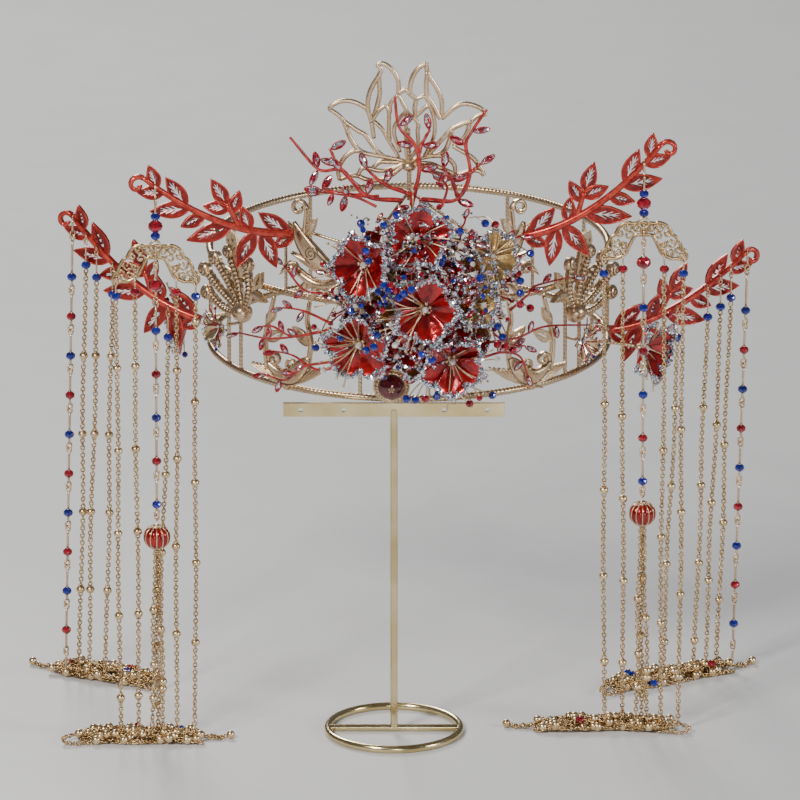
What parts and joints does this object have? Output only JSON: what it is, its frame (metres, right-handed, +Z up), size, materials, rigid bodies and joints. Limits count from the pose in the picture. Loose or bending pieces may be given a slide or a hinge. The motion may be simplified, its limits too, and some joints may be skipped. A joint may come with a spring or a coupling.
{
  "type": "phoenix crown on a t-bar display stand",
  "caption": "Openwork phoenix crown of two rope hoops with lotus, enamel leaf branches, glass flowers and long bead and chain pendants, on a T-bar stand with a ring foot.",
  "frame": {"origin": "on the floor, under the middle of the bounding box", "axes": "+Z up, front of the crown faces -Y, +X to the right in the picture"},
  "size_m": [0.2972, 0.1972, 0.2792],
  "materials": {
    "champagne_gold": "polished, pale rose gold",
    "brass": "polished yellow brass",
    "red_enamel": "coral-red enamel, cut edges lighter",
    "coral_and_crystal": "glossy coral red, crystals clear",
    "ruby_glass": "glossy ruby, silver glitter at the petals' edges",
    "cut_beads": "cut, glossy, blue and red",
    "dark_red_stone": "polished dome",
    "lantern_enamel": "glossy red between gold ribs",
    "pins_and_beads": "pale gold pins, cut blue and red beads"
  },
  "bodies": {
    "root": {"stand": "brass", "frame": "champagne_gold", "panel_left": "champagne_gold", "panel_right": "champagne_gold", "phoenix_left": "champagne_gold", "phoenix_right": "champagne_gold", "tail_left": "champagne_gold", "tail_right": "champagne_gold", "lotus": "champagne_gold", "branch_front_left": "red_enamel", "branch_front_right": "red_enamel", "branch_rear_left": "red_enamel", "branch_rear_right": "red_enamel", "twigs_left": "coral_and_crystal", "twigs_middle": "coral_and_crystal", "twigs_right": "coral_and_crystal", "red_flower_top": "ruby_glass", "red_flower_left": "ruby_glass", "red_flower_middle": "ruby_glass", "red_flower_low_left": "ruby_glass", "red_flower_low_right": "ruby_glass", "pale_flower_upper": "champagne_gold", "pale_flower_lower": "champagne_gold", "small_flower_left": "champagne_gold", "small_flower_right": "champagne_gold", "rear_flower_left": "ruby_glass", "rear_flower_right": "ruby_glass", "bead_sprays": "cut_beads", "button_cup": "champagne_gold", "button_stone": "dark_red_stone", "hook_beads_left": "cut_beads", "hook_beads_right": "cut_beads", "wings_left": "champagne_gold", "wings_right": "champagne_gold", "chain_1_left": "champagne_gold", "chain_2_left": "champagne_gold", "chain_3_left": "champagne_gold", "chain_4_left": "champagne_gold", "chain_1_right": "champagne_gold", "chain_2_right": "champagne_gold", "chain_3_right": "champagne_gold", "chain_4_right": "champagne_gold", "pin_strand_left": "pins_and_beads", "pin_strand_right": "pins_and_beads", "lantern_left": "lantern_enamel", "lantern_right": "lantern_enamel", "rear_pin_strand_left": "pins_and_beads", "rear_pin_strand_right": "pins_and_beads", "rear_chain_1_left": "champagne_gold", "rear_chain_2_left": "champagne_gold", "rear_chain_3_left": "champagne_gold", "rear_chain_4_left": "champagne_gold", "rear_chain_1_right": "champagne_gold", "rear_chain_2_right": "champagne_gold", "rear_chain_3_right": "champagne_gold", "rear_chain_4_right": "champagne_gold", "heap_front_left": "champagne_gold", "heap_front_right": "champagne_gold", "heap_rear_left": "champagne_gold", "heap_rear_right": "champagne_gold"}
  },
  "joints": []
}
